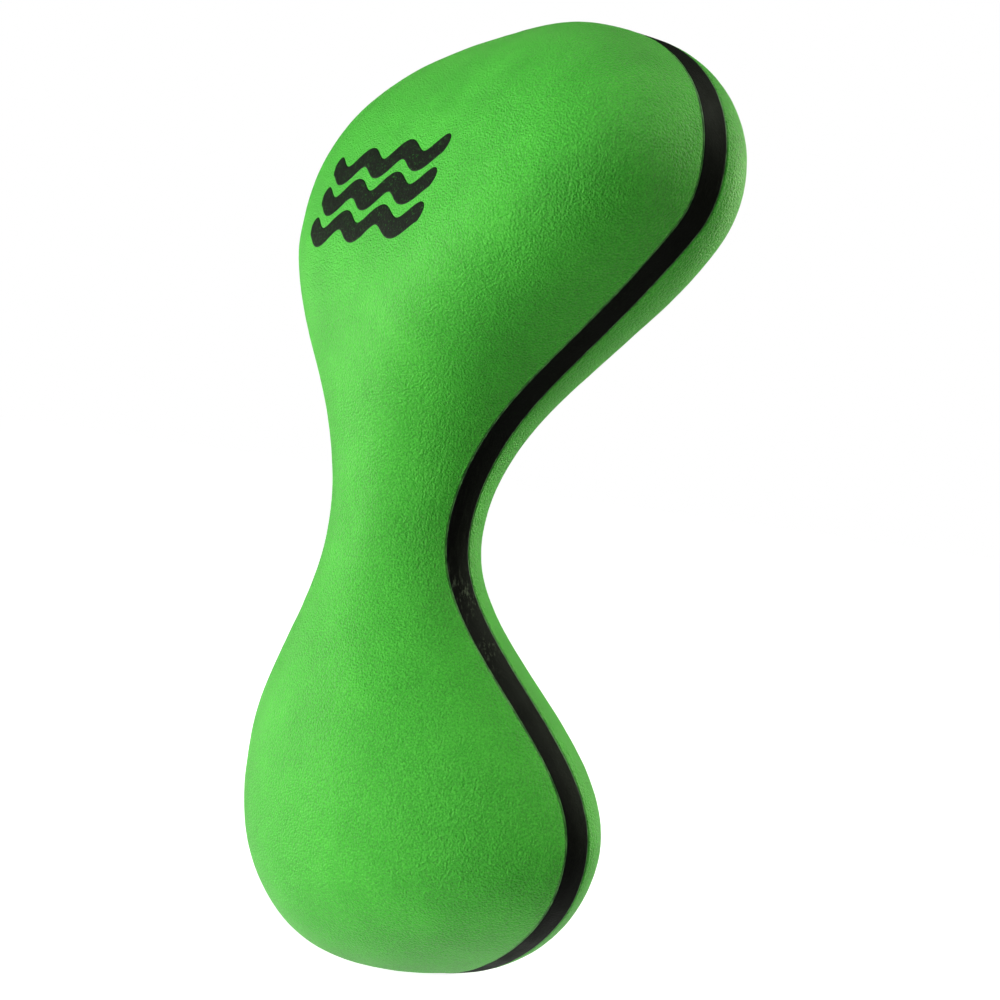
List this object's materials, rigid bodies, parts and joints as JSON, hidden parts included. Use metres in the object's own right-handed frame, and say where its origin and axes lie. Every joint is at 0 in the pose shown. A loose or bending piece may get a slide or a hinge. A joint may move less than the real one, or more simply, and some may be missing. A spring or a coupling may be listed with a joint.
{
  "type": "pull buoy",
  "caption": "Figure-eight foam swimming float: a larger and a smaller lobe joined by a narrow waist, with a thin dark sheet bonded between two foam blocks.",
  "frame": {"origin": "the centre of the whole shape's box", "axes": "+Z along the long axis towards the larger lobe, +X across the width, +Y towards the back, so the printed mark faces -Y"},
  "size_m": [0.148, 0.0752, 0.24],
  "materials": {
    "foam": "matte closed-cell EVA foam with a fine suede-like grain",
    "sheet": "satin black EVA foam sheet",
    "glue": "thin cured contact cement",
    "ink": "matte screen-print ink"
  },
  "bodies": {
    "root": {"front_foam": "foam", "front_glue_film": "glue", "middle_layer": "sheet", "rear_glue_film": "glue", "rear_foam": "foam", "printed_mark": "ink"}
  },
  "joints": []
}
